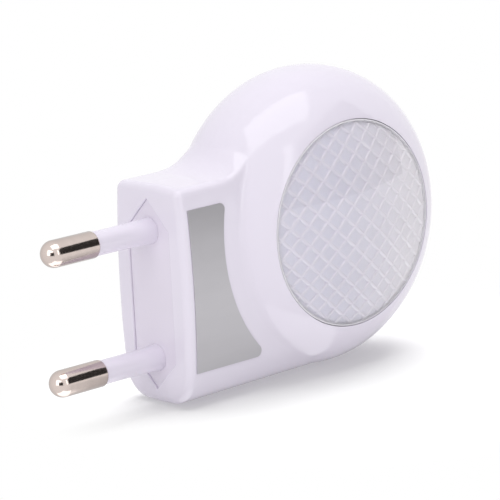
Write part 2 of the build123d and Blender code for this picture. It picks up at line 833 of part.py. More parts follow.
with BuildPart() as photocell_window:
    with BuildSketch(sensor_plane.offset(sensor_front)):
        Circle(window_radius + window_flange)
    extrude(amount=window_flange)
    with BuildSketch(sensor_plane.offset(sensor_front)):
        Circle(window_radius)
    extrude(amount=head_radius - sensor_front)
    outer_edge = photocell_window.edges().sort_by(Axis((head_x, 0, head_height), sensor_direction))[-1]
    fillet(outer_edge, window_flange)
photocell_window.part.label = "photocell_window"
export_step(photocell_window.part, "parts/photocell_window.step")

# ---------------------------------------------------------------- bare rating label
label_left = rim_x + label_near
label_top_right = head_x - sqrt(label_arc_radius**2 - (label_top - head_height) ** 2)
label_bottom_right = head_x - sqrt(label_arc_radius**2 - (label_bottom + head_height) ** 2)
with BuildPart() as rating_label:
    with BuildSketch(Plane.XZ) as label_outline:
        with BuildLine():
            ThreePointArc(
                (label_top_right, label_top),
                (head_x - label_arc_radius, head_height),
                (label_bottom_right, -label_bottom),
            )
            Polyline(
                (label_bottom_right, -label_bottom),
                (label_left, -label_bottom),
                (label_left, label_top),
                (label_top_right, label_top),
            )
        make_face()
        fillet(label_outline.vertices().group_by(Axis.X)[1:], label_corner)
    extrude(amount=2 * neck_half_width)
    add(neck_solid(rim_x, -label_thickness), mode=Mode.INTERSECT)
    add(casing_form.part, mode=Mode.SUBTRACT)
rating_label.part.label = "rating_label"
export_step(rating_label.part, "parts/rating_label.step")
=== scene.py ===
# %% [markdown]
# # A plug in night light
# The light is a white moulded casing: a flat-sided neck that carries a two-pin plug, and a round
# head with a domed, diamond-cut lens on each side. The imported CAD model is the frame. Every piece
# made here sits where the frame says, in metres, with +X towards the head, +Z up and the pins
# pointing to -X.

from math import asin, atan2, cos, hypot, pi, radians, sin, sqrt

import bpy
from mathutils import Matrix, Vector


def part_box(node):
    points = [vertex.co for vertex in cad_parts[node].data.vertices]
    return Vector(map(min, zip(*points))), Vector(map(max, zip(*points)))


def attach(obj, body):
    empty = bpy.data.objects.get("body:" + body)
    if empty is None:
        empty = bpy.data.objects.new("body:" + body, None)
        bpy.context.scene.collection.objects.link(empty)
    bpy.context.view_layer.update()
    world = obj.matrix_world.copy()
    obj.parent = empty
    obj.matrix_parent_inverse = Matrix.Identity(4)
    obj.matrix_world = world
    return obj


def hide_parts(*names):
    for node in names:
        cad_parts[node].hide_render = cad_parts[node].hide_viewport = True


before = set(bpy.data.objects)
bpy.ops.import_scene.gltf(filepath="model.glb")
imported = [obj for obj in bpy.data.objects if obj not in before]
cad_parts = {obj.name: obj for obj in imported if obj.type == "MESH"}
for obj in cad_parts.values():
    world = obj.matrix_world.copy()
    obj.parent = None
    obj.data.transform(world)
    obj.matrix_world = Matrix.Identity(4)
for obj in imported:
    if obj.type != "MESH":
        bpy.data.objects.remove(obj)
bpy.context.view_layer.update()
MM = 0.001

# %% [markdown]
# ## Camera
# A long lens far away keeps the neck's edges nearly parallel, as a product shot does. A constraint
# could aim the camera, but leaves no plain way to roll it a little. So its axes are worked out from
# azimuth, elevation and roll, and a matrix made of three axes can't gimbal.

# %% Camera
CAMERA_AZIMUTH = radians(42.02)
CAMERA_ELEVATION = radians(12.97)
CAMERA_ROLL = radians(-3.03)
CAMERA_DISTANCE = 476.9 * MM
CAMERA_LENS = 227.97
CAMERA_CLIP = 20
AIM_X = 24.7 * MM
AIM_RIGHT = -3.899 * MM
AIM_UP = 1.958 * MM

backward = Vector((
    -sin(CAMERA_AZIMUTH) * cos(CAMERA_ELEVATION),
    -cos(CAMERA_AZIMUTH) * cos(CAMERA_ELEVATION),
    sin(CAMERA_ELEVATION),
))
level_right = Vector((cos(CAMERA_AZIMUTH), -sin(CAMERA_AZIMUTH), 0))
level_up = backward.cross(level_right)
right = level_right * cos(CAMERA_ROLL) + level_up * sin(CAMERA_ROLL)
up = level_up * cos(CAMERA_ROLL) - level_right * sin(CAMERA_ROLL)
aim = Vector((AIM_X, 0, 0)) + level_right * AIM_RIGHT + level_up * AIM_UP
place = aim + backward * CAMERA_DISTANCE
axes = Matrix((right, up, backward)).transposed().to_4x4()
bpy.ops.object.camera_add()
camera = bpy.context.object
camera.name = "camera"
camera.matrix_world = Matrix.Translation(place) @ axes
camera.data.lens = CAMERA_LENS
camera.data.clip_end = CAMERA_CLIP
bpy.context.scene.camera = camera
print("camera at, mm:", [round(value / MM, 1) for value in place])

# %% [markdown]
# ## Helpers for modelling
# An operator acts on all that is selected, and the loader leaves the CAD nodes selected. So each
# step starts from nothing selected. Faces and vertices are picked in code, by where they are.

# %% Select
def select_only(piece):
    """Selects one object and nothing else."""
    bpy.ops.object.select_all(action="DESELECT")
    piece.hide_set(False)
    piece.select_set(True)
    bpy.context.view_layer.objects.active = piece


def edit_all():
    """Edit mode, with the whole mesh selected."""
    bpy.ops.object.mode_set(mode="EDIT")
    bpy.ops.mesh.select_all(action="SELECT")


def leave_edit():
    """Back to object mode."""
    bpy.ops.object.mode_set(mode="OBJECT")


def pick(piece, kind, indices):
    """Edit mode with only these parts of the mesh selected; kind is FACE or VERT."""
    bpy.ops.object.mode_set(mode="EDIT")
    bpy.ops.mesh.select_mode(type=kind)
    bpy.ops.mesh.select_all(action="DESELECT")
    leave_edit()
    parts = piece.data.polygons if kind == "FACE" else piece.data.vertices
    for index in indices:
        parts[index].select = True
    bpy.ops.object.mode_set(mode="EDIT")


# %% Place, smooth and close
MERGE = 0.0005 * MM
SHARP = radians(35)


def in_place(piece, name):
    """Names a new piece and moves its place and turn into its mesh, as a CAD node's is."""
    piece.name = name
    piece.data.name = name
    select_only(piece)
    bpy.ops.object.transform_apply(location=True, rotation=True, scale=True)
    return piece


def smooth(piece):
    """Smooth shading, but for the edges that are sharper than SHARP."""
    select_only(piece)
    bpy.ops.object.shade_smooth_by_angle(angle=SHARP)
    return piece


def close_mesh(piece):
    """Merges doubles, then turns all faces outwards."""
    select_only(piece)
    edit_all()
    bpy.ops.mesh.remove_doubles(threshold=MERGE)
    bpy.ops.mesh.normals_make_consistent(inside=False)
    leave_edit()


# %% [markdown]
# ### Copies of CAD nodes
# A CAD node is a mesh of loose triangles, which shades in facets. A copy whose triangles are merged
# shades smoothly, and weighted normals keep its flat faces flat beside the rounded edges. The node
# itself stays as it is, hidden behind its copy.

# %% Copy and finish
def smooth_copy(node, name):
    """A copy of a CAD node with its loose triangles merged and smooth shading."""
    piece = bpy.data.objects.new(name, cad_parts[node].data.copy())
    piece.data.name = name
    bpy.context.scene.collection.objects.link(piece)
    piece.data.materials.clear()
    select_only(piece)
    edit_all()
    bpy.ops.mesh.remove_doubles(threshold=MERGE)
    leave_edit()
    bpy.ops.mesh.customdata_custom_splitnormals_clear()
    smooth(piece)
    level = piece.modifiers.new("flat_faces_flat", "WEIGHTED_NORMAL")
    level.keep_sharp = True
    level.weight = 100
    bpy.ops.object.modifier_apply(modifier=level.name)
    return piece


def finish_piece(piece, material, slot, *nodes):
    """Gives a piece its material, lets it ride, and hides the CAD nodes it stands for; slot is not
    used.
    """
    if not piece.data.materials:
        piece.data.materials.append(material)
    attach(piece, "root")
    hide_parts(*nodes)
    print(piece.name, len(piece.data.polygons), "faces")


# %% [markdown]
# ### Turned pieces
# Pins, sleeves, lens covers and lens flanges are round. A cylinder would need a cut for every step
# in its radius, so they are turned as on a lathe: one vertex is extruded along the outline from
# point to point, and the outline is spun once round the axis.

# %% Turn an outline
def turned(name, outline, center, along, across, steps=72):
    """A piece spun from outline: pairs of the distance along the axis and the radius, in mm."""
    points = [center + along * (far * MM) + across * (radius * MM) for far, radius in outline]
    bpy.ops.object.select_all(action="DESELECT")
    bpy.ops.mesh.primitive_plane_add(size=MM)
    piece = bpy.context.object
    edit_all()
    bpy.ops.mesh.merge(type="CENTER")
    bpy.ops.mesh.select_all(action="SELECT")
    bpy.ops.transform.translate(value=points[0])
    for here, there in zip(points, points[1:]):
        bpy.ops.mesh.extrude_vertices_move(TRANSFORM_OT_translate={"value": there - here})
    bpy.ops.mesh.select_all(action="SELECT")
    bpy.ops.mesh.spin(steps=steps, angle=2 * pi, center=center, axis=along)
    leave_edit()
    in_place(piece, name)
    close_mesh(piece)
    return smooth(piece)


def arc(center, radius, start, end, count):
    """Points on an arc of that centre and radius, from start to end, in degrees."""
    turns = [radians(start + (end - start) * step / count) for step in range(count + 1)]
    return [(center[0] + radius * cos(turn), center[1] + radius * sin(turn)) for turn in turns]


# %% [markdown]
# ## Finishes
# A real moulding is never one flat colour: its polish waves a little and its tone drifts. An image
# could hold that, but noise in object space needs no UV map and fits every piece. One node group
# makes the drift for every finish, each time with the finish's own colour, grain and spread.

# %% Helpers for nodes
def new_group(name, inputs, outputs):
    """A shader node group with those sockets, given as pairs of name and kind."""
    group = bpy.data.node_groups.new(name, "ShaderNodeTree")
    for socket, kind in inputs:
        group.interface.new_socket(socket, in_out="INPUT", socket_type="NodeSocket" + kind)
    for socket, kind in outputs:
        group.interface.new_socket(socket, in_out="OUTPUT", socket_type="NodeSocket" + kind)
    enter, leave = group.nodes.new("NodeGroupInput"), group.nodes.new("NodeGroupOutput")
    return group, group.nodes, group.links, enter, leave


def join(links, *pairs):
    """Links each pair of sockets."""
    for output, entry in pairs:
        links.new(output, entry)


def math_node(nodes, links, operation, first, second):
    """The output of a Math node on two sockets or numbers."""
    node = nodes.new("ShaderNodeMath")
    node.operation = operation
    for entry, value in zip(node.inputs, (first, second)):
        if isinstance(value, (int, float)):
            entry.default_value = value
        else:
            links.new(value, entry)
    return node.outputs[0]


# %% [markdown]
# The group has two noises. The broad one, with patches ten times the grain, drifts the tone between
# two colours. The fine one, at the grain's own size, gives the relief and wavers the polish.

# %% The group of surface drift
BROAD_SHARE = 0.1
NOISE_MIDDLE = 0.5
drift, nodes, links, enter, leave = new_group(
    "surface_drift",
    [("Color", "Color"), ("Deep Color", "Color"), ("Stretch", "Vector"), ("Grain", "Float"),
     ("Roughness", "Float"), ("Spread", "Float")],
    [("Color", "Color"), ("Roughness", "Float"), ("Height", "Float")],
)
where = nodes.new("ShaderNodeTexCoord")
stretch = nodes.new("ShaderNodeVectorMath")
stretch.operation = "MULTIPLY"
broad, fine = nodes.new("ShaderNodeTexNoise"), nodes.new("ShaderNodeTexNoise")
broad.inputs["Detail"].default_value = 3
fine.inputs["Detail"].default_value = 2
blend = nodes.new("ShaderNodeMix")
blend.data_type = "RGBA"
broad_scale = math_node(nodes, links, "MULTIPLY", enter.outputs["Grain"], BROAD_SHARE)
waver = math_node(nodes, links, "SUBTRACT", fine.outputs["Fac"], NOISE_MIDDLE)
waver = math_node(nodes, links, "MULTIPLY", waver, enter.outputs["Spread"])
waver = math_node(nodes, links, "ADD", waver, enter.outputs["Roughness"])
join(
    links,
    (where.outputs["Object"], stretch.inputs[0]), (enter.outputs["Stretch"], stretch.inputs[1]),
    (stretch.outputs[0], broad.inputs["Vector"]), (stretch.outputs[0], fine.inputs["Vector"]),
    (broad_scale, broad.inputs["Scale"]), (enter.outputs["Grain"], fine.inputs["Scale"]),
    (broad.outputs["Fac"], blend.inputs["Factor"]),
    (enter.outputs["Color"], blend.inputs["A"]),
    (enter.outputs["Deep Color"], blend.inputs["B"]),
    (blend.outputs["Result"], leave.inputs["Color"]),
    (fine.outputs["Fac"], leave.inputs["Height"]),
    (waver, leave.inputs["Roughness"]),
)
print("group", drift.name, "has", len(drift.nodes), "nodes")

# %% [markdown]
# A material starts as one Principled shader with its plain numbers set on its own sockets. The
# group feeds only what changes over the surface: colour, roughness and the height of the bump.

# %% Start a material
BUMP_STRENGTH = 0.3


def start_material(name, color, roughness, **sockets):
    """A material with its nodes and links, and a Principled shader set to these values."""
    material = bpy.data.materials.new(name)
    material.use_nodes = True
    nodes, links = material.node_tree.nodes, material.node_tree.links
    shader = nodes["Principled BSDF"]
    shader.inputs["Base Color"].default_value = (*color, 1)
    shader.inputs["Roughness"].default_value = roughness
    for socket, value in sockets.items():
        shader.inputs[socket.replace("_", " ")].default_value = value
    return material, nodes, links, shader


def add_drift(nodes, color, deep_color, roughness, grain, spread, stretch=(1, 1, 1)):
    """The group of surface drift with these values; grain is in mm."""
    group = nodes.new("ShaderNodeGroup")
    group.node_tree = drift
    group.inputs["Color"].default_value = (*color, 1)
    group.inputs["Deep Color"].default_value = (*deep_color, 1)
    group.inputs["Stretch"].default_value = stretch
    group.inputs["Grain"].default_value = 1 / (grain * MM)
    group.inputs["Roughness"].default_value = roughness
    group.inputs["Spread"].default_value = spread
    return group


def drifting(name, color, roughness, deep=0.97, grain=1.0, spread=0.04, relief=0.01,
             stretch=(1, 1, 1), **sockets):
    """A material whose tone, polish and relief drift; grain and relief are in mm."""
    material, nodes, links, shader = start_material(name, color, roughness, **sockets)
    deep_color = [value * deep for value in color]
    group = add_drift(nodes, color, deep_color, roughness, grain, spread, stretch)
    bump = nodes.new("ShaderNodeBump")
    bump.inputs["Strength"].default_value = BUMP_STRENGTH
    bump.inputs["Distance"].default_value = relief * MM
    join(
        links,
        (group.outputs["Color"], shader.inputs["Base Color"]),
        (group.outputs["Roughness"], shader.inputs["Roughness"]),
        (group.outputs["Height"], bump.inputs["Height"]),
        (bump.outputs["Normal"], shader.inputs["Normal"]),
    )
    return material


def second_tone(material, color):
    """Mixes a second colour into the base colour: the nodes, the links and the mix's factor."""
    nodes, links = material.node_tree.nodes, material.node_tree.links
    base = nodes["Principled BSDF"].inputs["Base Color"]
    blend = nodes.new("ShaderNodeMix")
    blend.data_type = "RGBA"
    blend.inputs["B"].default_value = (*color, 1)
    join(links, (base.links[0].from_socket, blend.inputs["A"]), (blend.outputs["Result"], base))
    return nodes, links, blend.inputs["Factor"]


# %% [markdown]
# ## Casing
# The casing is two glossy white ABS mouldings with a faint cool violet cast. It could be modelled
# again with subdivision surfaces, but the CAD shells already hold its true round form and its
# crisp parting line. So it comes whole from them, and only the finish is new.

# %% Casing
casing_white = drifting("casing_white", (0.815, 0.768, 0.875), 0.08, deep=0.985, grain=1.6,
                        spread=0.03, relief=0.004, IOR=1.5)
for node in ("shell_left", "shell_right"):
    finish_piece(smooth_copy(node, node + "_moulding"), casing_white, "casing_white", node)

# %% [markdown]
# The plug's carrier is a separate hexagonal moulding, let into the end face. It could share the
# casing's finish, but its face is duller, so it gets one of its own.

# %% Plug insert
insert_white = drifting("insert_white", (0.80, 0.745, 0.855), 0.22, deep=0.98, grain=1.0,
                        spread=0.04, relief=0.006, IOR=1.5)
insert = smooth_copy("plug_insert", "plug_insert_carrier")
finish_piece(insert, insert_white, "insert_white", "plug_insert")

# %% [markdown]
# ## Plug pins
# Each pin is turned brass with a nickel plate: a polished round-ended tip, and a thinner core that
# runs back through the sleeve to the contacts. The tool leaves faint rings round the bare metal, so
# the drift is drawn out round the axis.

# %% Pin outline
TIP_RADIUS = 2.0
TIP_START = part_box("plug_pin_upper")[0].x / MM
CORE_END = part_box("plug_pin_upper")[1].x / MM
SLEEVE_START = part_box("pin_sleeve_upper")[0].x / MM
SLEEVE_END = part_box("pin_sleeve_upper")[1].x / MM
CORE_RADIUS = 1.35
END_ROUND = 0.25
pin_outline = (
    [(TIP_START, 0)]
    + arc((TIP_START + TIP_RADIUS, 0), TIP_RADIUS, 180, 90, 20)[1:]
    + arc((SLEEVE_START - END_ROUND, TIP_RADIUS - END_ROUND), END_ROUND, 90, 0, 5)
    + [(SLEEVE_START, CORE_RADIUS), (CORE_END, CORE_RADIUS), (CORE_END, 0)]
)
print("pin from", round(TIP_START, 2), "to", round(CORE_END, 2), "mm,", len(pin_outline), "points")

# %% [markdown]
# The sleeve insulates the pin's root. It is a plain tube that flares slightly towards the casing,
# up to FACE_GAP from the end face, and goes on straight inside.

# %% Sleeve outline
SLEEVE_RADIUS = 1.8
BORE_RADIUS = 1.38
FLARE_RADIUS = 2.02
EDGE_ROUND = 0.12
FACE_GAP = 0.02
flare = [(-7.5, SLEEVE_RADIUS), (-5.0, 1.815), (-3.0, 1.85), (-1.5, 1.90), (-0.6, 1.96),
         (-FACE_GAP, FLARE_RADIUS)]
sleeve_outline = (
    [(SLEEVE_START, BORE_RADIUS)]
    + arc((SLEEVE_START + EDGE_ROUND, SLEEVE_RADIUS - EDGE_ROUND), EDGE_ROUND, 180, 90, 4)
    + flare
    + [(-FACE_GAP, SLEEVE_RADIUS), (SLEEVE_END, SLEEVE_RADIUS), (SLEEVE_END, BORE_RADIUS)]
    + [(SLEEVE_START, BORE_RADIUS)]
)
print("sleeve from", round(SLEEVE_START, 2), "to", round(SLEEVE_END, 2), "mm")

# %% [markdown]
# In most rooms the rims of a polished pin mirror something darker than its middle does. This room
# is white all round, so a dark second tone stands in for that: Facing, raised to a power, keeps it
# to the rims.

# %% Finishes of the pins and sleeves
RIM_POWER = 2.2
pin_nickel = drifting("pin_nickel", (0.75, 0.645, 0.60), 0.14, deep=0.86, grain=0.12, spread=0.10,
                      relief=0.012, stretch=(1, 0.25, 0.25), Metallic=1.0)
nodes, links, dark_share = second_tone(pin_nickel, (0.20, 0.165, 0.15))
facing = nodes.new("ShaderNodeLayerWeight").outputs["Facing"]
links.new(math_node(nodes, links, "POWER", facing, RIM_POWER), dark_share)
sleeve_white = drifting("sleeve_white", (0.80, 0.75, 0.86), 0.24, deep=0.97, grain=0.8,
                        spread=0.05, relief=0.005, IOR=1.5)
print("finishes", pin_nickel.name, "and", sleeve_white.name)

# %% Pins and sleeves
for level in ("upper", "lower"):
    low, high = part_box("plug_pin_" + level)
    pin_axis = (Vector((0, 0, (low.z + high.z) / 2)), Vector((1, 0, 0)), Vector((0, 0, 1)))
    pin = turned("pin_" + level + "_turned", pin_outline, *pin_axis)
    finish_piece(pin, pin_nickel, "pin_nickel", "plug_pin_" + level)
    sleeve = turned("sleeve_" + level + "_moulded", sleeve_outline, *pin_axis)
    finish_piece(sleeve, sleeve_white, "sleeve_white", "pin_sleeve_" + level)

# %% [markdown]
# ## Lens
# Each lens is a clear glossy dome over a diamond-cut milky face, in a thin milky bead with a flange
# behind the casing's edge. One solid of clear plastic would show the inner parts and hide the cut.
# So it is three pieces: a thin clear cover, a cut plate just under it, and the bead's ring. The
# pattern then lies below the gloss, and the ring hides the gap between the two. Distances along the
# lens's axis count from the middle plane: SEAT is the flange's outer face, RIM the height of the
# dome's edge and APEX that of its top.

# %% Lens sizes
LENS_SEGMENTS = 128
lens_low, lens_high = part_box("lens_left")
HEAD_X = (lens_low.x + lens_high.x) / 2 / MM
HEAD_Z = (lens_low.z + lens_high.z) / 2 / MM
APEX = -lens_low.y / MM
FLANGE_RADIUS = (lens_high.x - lens_low.x) / 2 / MM
FLANGE_INNER = -lens_high.y / MM
SEAT = 8.2
LENS_RADIUS = 15.56
RIM = 10.6
DOME_RADIUS = (LENS_RADIUS ** 2 + (APEX - RIM) ** 2) / (2 * (APEX - RIM))
DOME_CENTER = APEX - DOME_RADIUS
lens_axis = (Vector((HEAD_X * MM, 0, HEAD_Z * MM)), Vector((0, -1, 0)), Vector((1, 0, 0)))
print("lens centre", round(HEAD_X, 2), round(HEAD_Z, 2), "dome radius", round(DOME_RADIUS, 2), "mm")

# %% Lens cover
COVER_WALL = 0.20
COVER_INSET = 0.24
COVER_RADIUS = LENS_RADIUS - COVER_INSET
RIM_ROUND = 0.06
RIM_SLACK = 0.3
dome_edge = asin((COVER_RADIUS - RIM_ROUND) / DOME_RADIUS) * 180 / pi
inner_edge = asin(COVER_RADIUS / (DOME_RADIUS - COVER_WALL)) * 180 / pi
rim_height = DOME_CENTER + sqrt((DOME_RADIUS - RIM_ROUND) ** 2 - (COVER_RADIUS - RIM_ROUND) ** 2)
cover_outline = (
    arc((DOME_CENTER, 0), DOME_RADIUS, 0, dome_edge - RIM_SLACK, 14)
    + arc((rim_height, COVER_RADIUS - RIM_ROUND), RIM_ROUND, dome_edge, 90, 6)
    + arc((DOME_CENTER, 0), DOME_RADIUS - COVER_WALL, inner_edge, 0, 14)
)
cover = turned("lens_left_cover", cover_outline, *lens_axis, steps=LENS_SEGMENTS)
print("cover", len(cover.data.polygons), "faces")

# %% Bead and flange
DISC_INSET = 0.42
DISC_RADIUS = LENS_RADIUS - DISC_INSET
PLATE_GAP = 0.08
PLATE_SPHERE = DOME_RADIUS - COVER_WALL - PLATE_GAP
BEAD_ROUND = 0.13
BEAD_GAP = 0.02
BEAD_INNER = COVER_RADIUS + BEAD_GAP


def on_plate(radius):
    """Distance of the plate's face from the middle plane at that radius, in mm."""
    return DOME_CENTER + sqrt(PLATE_SPHERE ** 2 - radius ** 2)


bead_top = DOME_CENTER + sqrt(DOME_RADIUS ** 2 - (LENS_RADIUS - BEAD_ROUND) ** 2)
flange_outline = (
    [(FLANGE_INNER, DISC_RADIUS), (on_plate(DISC_RADIUS), DISC_RADIUS),
     (on_plate(BEAD_INNER), BEAD_INNER), (bead_top, BEAD_INNER)]
    + arc((bead_top - BEAD_ROUND, LENS_RADIUS - BEAD_ROUND), BEAD_ROUND, 0, 90, 6)
    + [(SEAT, LENS_RADIUS), (SEAT, FLANGE_RADIUS), (FLANGE_INNER, FLANGE_RADIUS),
       (FLANGE_INNER, DISC_RADIUS)]
)
flange = turned("lens_left_flange", flange_outline, *lens_axis, steps=LENS_SEGMENTS)
print("flange", len(flange.data.polygons), "faces")

# %% [markdown]
# ### Diamond-cut plate
# The cut could be a bump in the material, but it would then be lost in the exported mesh. So it is
# modelled: a grid of square cells, turned by 45 degrees and a little wider than high, is curved
# onto a sphere just under the cover. Cells that lie wholly beyond the disc are deleted first, since
# they would reach behind the flat back.

# %% Curved grid
CELL = 2.3
CELLS = 15
CELL_WIDER, CELL_LOWER = 1.05, 0.96
sphere_center = Vector((HEAD_X, -DOME_CENTER, HEAD_Z)) * MM
bpy.ops.object.select_all(action="DESELECT")
bpy.ops.mesh.primitive_grid_add(
    x_subdivisions=CELLS, y_subdivisions=CELLS, size=CELL * CELLS * MM,
    location=sphere_center, rotation=(radians(90), radians(45), 0),
)
plate = bpy.context.object
bpy.ops.object.transform_apply(location=False, rotation=True, scale=True)
edit_all()
bpy.ops.transform.resize(value=(CELL_WIDER, 1, CELL_LOWER), center_override=sphere_center)
bpy.ops.transform.translate(value=(0, -PLATE_SPHERE * MM, 0))
leave_edit()
cast = plate.modifiers.new("on_sphere", "CAST")
cast.factor = 1
cast.use_radius_as_size = False
cast.size = PLATE_SPHERE * MM
bpy.ops.object.modifier_apply(modifier=cast.name)
print("grid of", len(plate.data.polygons), "cells")

# %% Drop the cells beyond the disc
HALF_DIAGONAL = 0.72  # of a square cell, and a little to spare
axis_x, axis_z = HEAD_X * MM, HEAD_Z * MM
CUT_RADIUS = DISC_RADIUS + CELL * HALF_DIAGONAL
outside = [face.index for face in plate.data.polygons
           if hypot(face.center.x + plate.location.x - axis_x,
                    face.center.z + plate.location.z - axis_z) > CUT_RADIUS * MM]
pick(plate, "FACE", outside)
bpy.ops.mesh.delete(type="FACE")
leave_edit()
print("plate grid", len(plate.data.polygons), "cells kept,", len(outside), "beyond the disc")

# %% [markdown]
# The plate and the bead are milky plastic, which spreads light under its face. The ridges catch
# more light than the floors between them, so the ridges are given a lighter tone: a painted
# highlight. The pattern looks fainter and paler towards the end away from the plug, so a paler tone
# is painted into both tones there, along X: painted light.

# %% Finishes of the plate and the bead
milky = {"IOR": 1.45, "Subsurface_Weight": 0.7, "Subsurface_Radius": (1, 1, 1),
         "Subsurface_Scale": 0.8 * MM}
diffuser_floor = drifting("diffuser_floor", (0.715, 0.70, 0.785), 0.35, deep=0.95, grain=2.5,
                          spread=0.1, relief=0.01, **milky)
# The ridge's lighter tone is a painted highlight, not a different plastic.
diffuser_ridge = drifting("diffuser_ridge", (0.75, 0.722, 0.795), 0.3, deep=0.97, grain=2.5,
                          spread=0.1, relief=0.01, **milky)
diffuser_bead = drifting("diffuser_bead", (0.84, 0.81, 0.88), 0.10, deep=0.97, grain=2.5,
                         spread=0.04, relief=0.004, **milky)
print("finishes", diffuser_floor.name, diffuser_ridge.name, "and", diffuser_bead.name)

# %% Painted light along X
PAINTED_LIGHT_START = HEAD_X - 6
PAINTED_LIGHT_END = HEAD_X + 14
# Painted light: a paler tone is mixed into both plate tones along X, rising towards the far end.
for material in (diffuser_floor, diffuser_ridge):
    nodes, links, painted_light_share = second_tone(material, (0.79, 0.76, 0.80))
    where, parts = nodes.new("ShaderNodeTexCoord"), nodes.new("ShaderNodeSeparateXYZ")
    fade = nodes.new("ShaderNodeMapRange")
    fade.interpolation_type = "SMOOTHSTEP"
    fade.inputs["From Min"].default_value = PAINTED_LIGHT_START * MM
    fade.inputs["From Max"].default_value = PAINTED_LIGHT_END * MM
    join(
        links,
        (where.outputs["Object"], parts.inputs[0]), (parts.outputs["X"], fade.inputs["Value"]),
        (fade.outputs["Result"], painted_light_share),
    )
print("painted light from x", round(PAINTED_LIGHT_START, 1), "to", round(PAINTED_LIGHT_END, 1), "mm")

# %% [markdown]
# Each cell is inset twice: first for the thin ridge, then for the wall inside it. Then the one
# corner of each floor that lies nearest the far end is sunk, as a prism cutter leaves it.

# %% Cut the diamonds
RIDGE = 0.10
CELL_WALL = 0.20
FLOOR_DEPTH = 0.10
plate.data.materials.append(diffuser_ridge)
plate.data.materials.append(diffuser_floor)
bpy.ops.object.mode_set(mode="EDIT")
bpy.ops.mesh.select_mode(type="FACE")
bpy.ops.mesh.select_all(action="SELECT")
bpy.ops.mesh.inset(thickness=RIDGE * MM, depth=0, use_individual=True)
bpy.ops.mesh.inset(thickness=CELL_WALL * MM, depth=-FLOOR_DEPTH * MM, use_individual=True)
plate.active_material_index = 1
bpy.ops.object.material_slot_assign()
bpy.ops.mesh.quads_convert_to_tris(quad_method="FIXED_ALTERNATE")
leave_edit()
plate.active_material_index = 0
print("plate", len(plate.data.polygons), "faces")

# %% Sink one corner of each floor
SINK = 0.10
TIE = 1e-9
floors = [tuple(face.vertices) for face in plate.data.polygons if face.material_index == 1]
along_x = [point.co.x for point in plate.data.vertices]
floor_of = {}
for corners in floors:
    for index in corners:
        floor_of.setdefault(index, set()).update(corners)
rightmost = [index for index, corners in floor_of.items()
             if all(along_x[index] >= along_x[other] - TIE for other in corners)]
pick(plate, "VERT", rightmost)
bpy.ops.transform.translate(value=(0, SINK * MM, 0))
bpy.ops.mesh.select_mode(type="FACE")
leave_edit()
print("sunk", len(rightmost), "corners of", len(floors), "floor faces")

# %% [markdown]
# The plate is still an open sheet. It is extruded inwards and the new side pressed flat, which
# closes it, and a round cutter then trims its ragged edge to a disc.

# %% Flat back
PLATE_BACK = 8.3
EXTRUDE = 5
in_place(plate, "lens_left_diamonds")
edit_all()
bpy.ops.mesh.extrude_region_move(TRANSFORM_OT_translate={"value": (0, EXTRUDE * MM, 0)})
bpy.ops.transform.resize(value=(1, 0, 1), center_override=(0, -PLATE_BACK * MM, 0))
bpy.ops.mesh.select_all(action="SELECT")
bpy.ops.mesh.normals_make_consistent(inside=False)
leave_edit()
print("plate with its back", len(plate.data.polygons), "faces")

# %% Trim to a disc
CUTTER_DEPTH = 20
bpy.ops.object.select_all(action="DESELECT")
bpy.ops.mesh.primitive_cylinder_add(
    vertices=LENS_SEGMENTS, radius=DISC_RADIUS * MM, depth=CUTTER_DEPTH * MM,
    location=(HEAD_X * MM, -APEX * MM, HEAD_Z * MM), rotation=(radians(90), 0, 0),
)
cutter = in_place(bpy.context.object, "disc_cutter")
select_only(plate)
trim = plate.modifiers.new("to_disc", "BOOLEAN")
trim.operation = "INTERSECT"
trim.object = cutter
bpy.ops.object.modifier_apply(modifier=trim.name)
bpy.data.objects.remove(cutter)
print("plate box, mm:", [round(size / MM, 2) for size in plate.dimensions])

# %% [markdown]
# The cover is clear acrylic. Glass in front of the plate would throw a hard shadow on it, since
# light doesn't pass a refracting face straight. So the cover is almost gone for shadow rays alone.

# %% Clear cover finish
CLEAR_ROUGHNESS = 0.03
SHADOW_CLEARED = 0.95
lens_clear, nodes, links, shader = start_material(
    "lens_clear", (0.97, 0.965, 0.985), CLEAR_ROUGHNESS, IOR=1.49, Transmission_Weight=1.0)
group = add_drift(nodes, (0.985, 0.98, 0.99), (0.965, 0.965, 0.985), CLEAR_ROUGHNESS, grain=6,
                  spread=0.02)
shadow_ray = nodes.new("ShaderNodeLightPath").outputs["Is Shadow Ray"]
cleared = math_node(nodes, links, "MULTIPLY", shadow_ray, SHADOW_CLEARED)
join(
    links,
    (group.outputs["Color"], shader.inputs["Base Color"]),
    (group.outputs["Roughness"], shader.inputs["Roughness"]),
    (math_node(nodes, links, "SUBTRACT", 1, cleared), shader.inputs["Alpha"]),
)
print("finish", lens_clear.name)

# %% [markdown]
# The lens on the far side is the same moulding, mirrored. A negative scale turns a mesh inside out,
# so each mirrored copy has its normals turned outwards again.

# %% Lens on the other side
def mirrored(piece, name):
    """A copy of a piece with its own mesh, mirrored to the other side of the light."""
    copy = bpy.data.objects.new(name, piece.data.copy())
    copy.data.name = name
    bpy.context.scene.collection.objects.link(copy)
    select_only(copy)
    edit_all()
    bpy.ops.transform.resize(value=(1, -1, 1), center_override=(0, 0, 0))
    leave_edit()
    close_mesh(copy)
    return copy


lens_parts = {"cover": (cover, lens_clear), "diamonds": (plate, diffuser_ridge),
              "flange": (flange, diffuser_bead)}
for part, (piece, material) in lens_parts.items():
    finish_piece(mirrored(piece, "lens_right_" + part), material, "lens_frost", "lens_right")
    finish_piece(piece, material, "lens_frost", "lens_left")

# %% [markdown]
# ## Rating label
# The label is a bare metallised foil. Its brushed face could be drawn line by line, but noise that
# is stretched along the label's length gives the same fine streaks.

# %% Rating label
label_silver = drifting("label_silver", (0.62, 0.605, 0.635), 0.38, deep=0.94, grain=0.25,
                        spread=0.12, relief=0.004, stretch=(0.15, 1, 1.2), Metallic=1.0)
label = smooth_copy("rating_label", "rating_label_foil")
finish_piece(label, label_silver, "label_silver", "rating_label")

